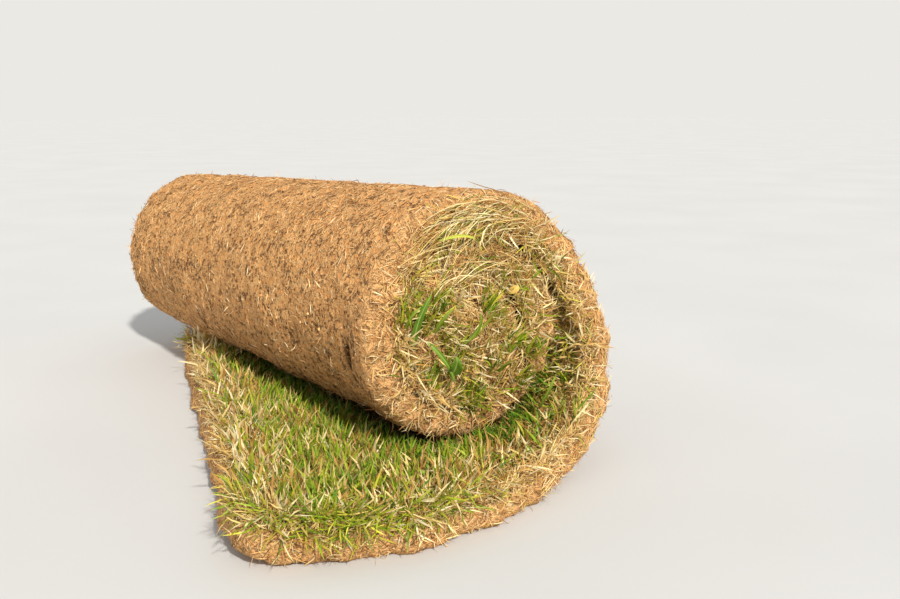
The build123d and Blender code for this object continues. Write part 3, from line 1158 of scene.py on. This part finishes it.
class TURF_OT_edge_straw(bpy.types.Operator):
    """Comb straw and roots over the cut edges"""

    bl_idname = "turf.edge_straw"
    bl_label = "Edge straw"

    def execute(self, context):
        s, looks = settings()
        half = s.thickness / 2

        def reach(angle, share):
            return np.clip(0.5 + 1.5 * share, 0.5, 1.0)

        for where, seed, density in (("near", 500, 290000.0), ("far", 600, 200000.0)):
            mesh = end_bed(where + "_edge_straw", s, where == "near", -half + 0.002, half + 0.002, 0.0, 0.12,
                           reach=reach)
            grow(mesh, "root_hair", "root_hairs", Density=density, Seed=looks.seed + seed, Shortest=0.006,
                 Longest=0.014, Wild=1.0, Flatten=0.95, Cling=0.9, Bend_scatter=0.8, Patch_size=0.02,
                 Patch_depth=0.3)
        reach_along = s.width / 2 - 0.03
        along, side = mesh_grid(rail((-reach_along, 60), (reach_along, 0)), rail((-half + 0.002, 6), (half, 0)))
        tail = tail_angle(s, s.tail_length)
        mesh = bed("tail_edge_straw", tail, along, side, (-1, 0, 0), (-0.12, 0, 0))
        grow(mesh, "root_hair", "root_hairs", Density=330000.0, Seed=looks.seed + 700, Shortest=0.005,
             Longest=0.012, Wild=1.0, Flatten=0.97, Cling=1.1, Bend_scatter=0.6, Patch_size=0.02,
             Patch_depth=0.3)
        return {"FINISHED"}


class TURF_OT_long_dry_blades(bpy.types.Operator):
    """Comb long dry blades round the near end"""

    bl_idname = "turf.long_dry_blades"
    bl_label = "Long dry blades"

    def execute(self, context):
        s, looks = settings()
        half = s.thickness / 2

        def growth(angle, share):
            over_top = np.clip(1.25 - np.abs(np.degrees(angle) - DRY_TOP) / DRY_SPREAD, 0, 1)
            inside = (angle > DRY_INSIDE[0]) & (angle < DRY_INSIDE[1])
            return over_top * (0.35 + 0.65 * share) + np.where(inside, 0.18, 0.0)

        def around(angle, share):
            return np.where(angle > DRY_PARTING, -1.0, 1.0)

        mesh = end_bed("long_dry_blades", s, True, -half * 0.5, half + 0.002, 0.004, 0.0, around, growth, 1.0)
        grow(mesh, "long_dry_blade", "grass_blades", Density=150000.0, Seed=looks.seed + 800, Shortest=0.016,
             Longest=0.058, Wild=0.42, Flatten=0.8, Bend=(0.0, 0.0, 1.0), Bend_scatter=0.8, Patch_size=0.02,
             Patch_depth=0.9)
        return {"FINISHED"}


GREEN_TUFTS = (
    # x, z and spread, over the near end
    (-0.076, 0.140, 0.004), (-0.059, 0.133, 0.006), (-0.050, 0.145, 0.005), (-0.012, 0.118, 0.006),
    (-0.008, 0.136, 0.005), (0.008, 0.133, 0.004), (0.032, 0.104, 0.004), (0.048, 0.062, 0.005),
    (0.066, 0.062, 0.004), (-0.046, 0.085, 0.004), (-0.003, 0.056, 0.005), (-0.027, 0.087, 0.005),
    (0.018, 0.083, 0.005), (-0.014, 0.160, 0.003), (0.054, 0.092, 0.004), (-0.036, 0.122, 0.004),
)


class TURF_OT_green_tufts(bpy.types.Operator):
    """Set upright green tufts in the near end"""

    bl_idname = "turf.green_tufts"
    bl_label = "Green tufts"

    def execute(self, context):
        s, looks = settings()
        half = s.thickness / 2

        def growth(angle, share):
            (x, _, z), *_ = strip_point(Plain, s, angle, -s.width / 2, share * s.thickness - half)
            total = np.zeros_like(angle)
            for tuft_x, tuft_z, spread in GREEN_TUFTS:
                total += np.exp(-((x - tuft_x) ** 2 + (z - tuft_z) ** 2) / (2 * spread**2))
            return np.clip(total, 0, 1)

        mesh = end_bed("green_tufts", s, True, -half, half + s.near_sward, -0.004, 0.25, growth=growth,
                       dry=0.08)
        grow(mesh, "fine_blade", "grass_blades", Density=520000.0, Seed=looks.seed + 330, Shortest=0.014,
             Longest=0.036, Wild=0.30, Pull=(0.0, -0.12, 0.75), Droop=0.2, Patch_size=0.02, Patch_depth=0.2)
        return {"FINISHED"}


BROAD_LEAVES = (
    # root, middle, tip, width, palette column, roundness
    ((-0.0677, -0.307, 0.1215), (-0.0703, -0.320, 0.1463), (-0.0650, -0.330, 0.1690), 0.0062, 38, 0.45),
    ((-0.0560, -0.307, 0.1268), (-0.0430, -0.318, 0.1095), (-0.0330, -0.317, 0.0890), 0.0042, 44, 0.4),
    ((-0.0345, -0.312, 0.0950), (-0.0368, -0.324, 0.1050), (-0.0390, -0.327, 0.1155), 0.0115, 34, 1.0),
    ((0.0278, -0.309, 0.1560), (0.0310, -0.316, 0.1605), (0.0356, -0.316, 0.1622), 0.0072, 3, 1.0),
    ((-0.0420, -0.309, 0.2066), (-0.0280, -0.319, 0.2105), (-0.0120, -0.318, 0.2060), 0.0027, 60, 0.4),
    ((-0.0480, -0.309, 0.1300), (-0.0500, -0.322, 0.1440), (-0.0440, -0.331, 0.1560), 0.0034, 52, 0.4),
    ((-0.0150, -0.307, 0.1180), (-0.0120, -0.322, 0.1340), (-0.0170, -0.330, 0.1480), 0.0032, 48, 0.4),
    ((-0.0080, -0.307, 0.1200), (-0.0030, -0.322, 0.1380), (-0.0040, -0.334, 0.1500), 0.0030, 58, 0.4),
    ((0.0480, -0.330, 0.0560), (0.0440, -0.345, 0.0740), (0.0460, -0.352, 0.0900), 0.0034, 52, 0.4),
    ((-0.0740, -0.307, 0.1360), (-0.0780, -0.320, 0.1500), (-0.0730, -0.328, 0.1600), 0.0030, 56, 0.4),
)
LEAF_ACROSS, LEAF_ALONG = 6, 14  # faces of a leaf


def leaf_points(root, middle_point, tip, width, roundness):
    """Points of a folded leaf on a curve through three places, each with its share across and along."""
    a, b, c = (Vector(v) for v in (root, middle_point, tip))
    for i in range(LEAF_ALONG + 1):
        t = i / LEAF_ALONG
        spot = a * (1 - t) * (1 - 2 * t) + b * 4 * t * (1 - t) + c * t * (2 * t - 1)
        run = (a * (4 * t - 3) + b * (4 - 8 * t) + c * (4 * t - 1)).normalized()
        sideways = run.cross(Vector((-0.45, -0.85, 0.25))).normalized()
        out = sideways.cross(run).normalized()
        taper = math.sin(math.pi * min(t * 0.96 + 0.04, 1.0) ** (0.75 + 0.25 * roundness)) ** roundness
        half = width / 2 * max(taper * (1 - 0.25 * t), 0.04)
        for j in range(LEAF_ACROSS + 1):
            u = 2 * j / LEAF_ACROSS - 1
            wave = 0.06 * width * math.sin(9 * t + 3 * u)
            yield spot + sideways * u * half + out * (abs(u) * half * 0.45 + wave), j / LEAF_ACROSS, t


class TURF_OT_broad_leaves(bpy.types.Operator):
    """Set the few broad leaves in the near end"""

    bl_idname = "turf.broad_leaves"
    bl_label = "Broad leaves"

    def execute(self, context):
        verts, faces, uvs = [], [], []
        beside = LEAF_ACROSS + 1
        for root, middle_point, tip, width, column, roundness in BROAD_LEAVES:
            first = len(verts)
            for point, across, along in leaf_points(root, middle_point, tip, width, roundness):
                verts.append(point)
                uvs.append(((column + 0.1 + 0.8 * across) / PALETTE, 0.02 + 0.96 * along))
            for i in range(LEAF_ALONG):
                for a in range(first + i * beside, first + i * beside + LEAF_ACROSS):
                    faces.append((a, a + 1, a + beside + 1, a + beside))
        mesh = bpy.data.meshes.new("broad_leaves")
        mesh.from_pydata(verts, [], faces)
        lay_uvs(mesh, uvs)
        mesh.materials.append(shared(bpy.data.materials, "leaf_blades", leaf_material))
        finish_piece(new_object("broad_leaves", mesh))
        return {"FINISHED"}


class TURF_OT_soil_crumbs(bpy.types.Operator):
    """Strew small clods over the soil side"""

    bl_idname = "turf.soil_crumbs"
    bl_label = "Soil crumbs"

    def execute(self, context):
        s, looks = settings()
        angle, along = side_grid(s, 0.012, 60, (8, 90), (366, 0))
        mesh = bed("soil_crumbs", angle, along, -s.thickness / 2, (0, 0, -1), (0, 0, -0.3))
        grow(mesh, "soil_crumb", "soil_clods", clod_kinds, Density=3400.0, Seed=looks.seed + 900,
             Shortest=0.0012, Longest=0.0042, Wild=1.0, Patch_size=0.06, Patch_depth=0.5)
        return {"FINISHED"}


class TURF_OT_set_stage(bpy.types.Operator):
    """Set the pale floor, the soft light and the camera"""

    bl_idname = "turf.set_stage"
    bl_label = "Stage"

    def execute(self, context):
        scene = context.scene
        mesh = bpy.data.meshes.new("pale_floor")
        corners = [(x * FLOOR_REACH, y * FLOOR_REACH, 0) for x, y in ((-1, -1), (1, -1), (1, 1), (-1, 1))]
        mesh.from_pydata(corners, [], [(0, 1, 2, 3)])
        material, g, shader = new_material("pale_floor")
        tone = g.noise(g.get("ShaderNodeTexCoord", out=3), 3.0)
        tone = g.ramp(tone, (0.3, (0.63, 0.627, 0.615)), (0.7, (0.66, 0.657, 0.645)))
        g.wire(tone, shader, "Base Color")
        shader.inputs["Roughness"].default_value = 0.9
        shader.inputs["Specular IOR Level"].default_value = 0.1
        mesh.materials.append(material)
        new_object("pale_floor", mesh)

        sun = bpy.data.lights.new("key_light", "SUN")
        sun.energy, sun.angle, sun.color = SUN_STRENGTH, SUN_WIDTH, SUN_COLOUR
        key = new_object("key_light", sun)
        key.rotation_mode = "QUATERNION"
        key.rotation_quaternion = Vector(SUN_WAY).to_track_quat("-Z", "Y")

        world = scene.world = bpy.data.worlds.new("soft_sky")
        world.use_nodes = True
        world.node_tree.nodes.clear()
        g = Graph(world.node_tree)
        fill = g.get("ShaderNodeBackground", FILL_COLOUR, FILL_STRENGTH)
        seen = g.get("ShaderNodeBackground", SEEN_COLOUR, 1.0)
        path = g.node("ShaderNodeLightPath")
        camera_ray, glossy, clear = (
            Value(g, path.outputs[f"Is {kind} Ray"]) for kind in ("Camera", "Glossy", "Transmission")
        )
        rays = g.maths("ADD", camera_ray + glossy, clear, clamp=True)
        g.node("ShaderNodeOutputWorld", g.get("ShaderNodeMixShader", rays, fill, seen))

        camera = bpy.data.cameras.new("camera")
        camera.lens, camera.sensor_width = LENS, 36.0
        camera.clip_start, camera.clip_end = 0.01, 50.0
        flat = math.cos(ELEVATION)
        back = Vector((math.sin(AZIMUTH) * flat, -math.cos(AZIMUTH) * flat, math.sin(ELEVATION)))
        eye = scene.camera = new_object("camera", camera)
        eye.location = EYE
        eye.rotation_mode = "QUATERNION"
        eye.rotation_quaternion = (-back).to_track_quat("-Z", "Y")
        scene.view_settings.view_transform = "Standard"
        return {"FINISHED"}


STEPS = (
    TURF_OT_set_stage,
    TURF_OT_wind_strip,
    TURF_OT_root_hairs,
    TURF_OT_tail_grass,
    TURF_OT_thatch,
    TURF_OT_end_grass,
    TURF_OT_edge_straw,
    TURF_OT_long_dry_blades,
    TURF_OT_green_tufts,
    TURF_OT_broad_leaves,
    TURF_OT_soil_crumbs,
)


class TURF_PT_sidebar(bpy.types.Panel):
    """Sizes, colours and making of the turf roll"""

    bl_idname = "TURF_PT_sidebar"
    bl_label = "Turf roll"
    bl_space_type = "VIEW_3D"
    bl_region_type = "UI"
    bl_category = "Turf"

    def draw(self, context):
        for group in settings():
            box = self.layout.box()
            for name in type(group).__annotations__:
                box.prop(group, name)
        for step in STEPS:
            self.layout.operator(step.bl_idname)


CLASSES = (TurfStrip, TurfLooks, *STEPS, TURF_PT_sidebar)


def register():
    for item in CLASSES:
        bpy.utils.register_class(item)
    bpy.types.Scene.turf_strip = PointerProperty(type=TurfStrip)
    bpy.types.Scene.turf_looks = PointerProperty(type=TurfLooks)


def unregister():
    del bpy.types.Scene.turf_looks
    del bpy.types.Scene.turf_strip
    for item in reversed(CLASSES):
        bpy.utils.unregister_class(item)


def main():
    register()
    bpy.ops.turf.set_stage()
    bpy.ops.turf.wind_strip()
    bpy.ops.turf.root_hairs()
    bpy.ops.turf.tail_grass()
    bpy.ops.turf.thatch()
    bpy.ops.turf.end_grass()
    bpy.ops.turf.edge_straw()
    bpy.ops.turf.long_dry_blades()
    bpy.ops.turf.green_tufts()
    bpy.ops.turf.broad_leaves()
    bpy.ops.turf.soil_crumbs()


if __name__ == "__main__":
    main()
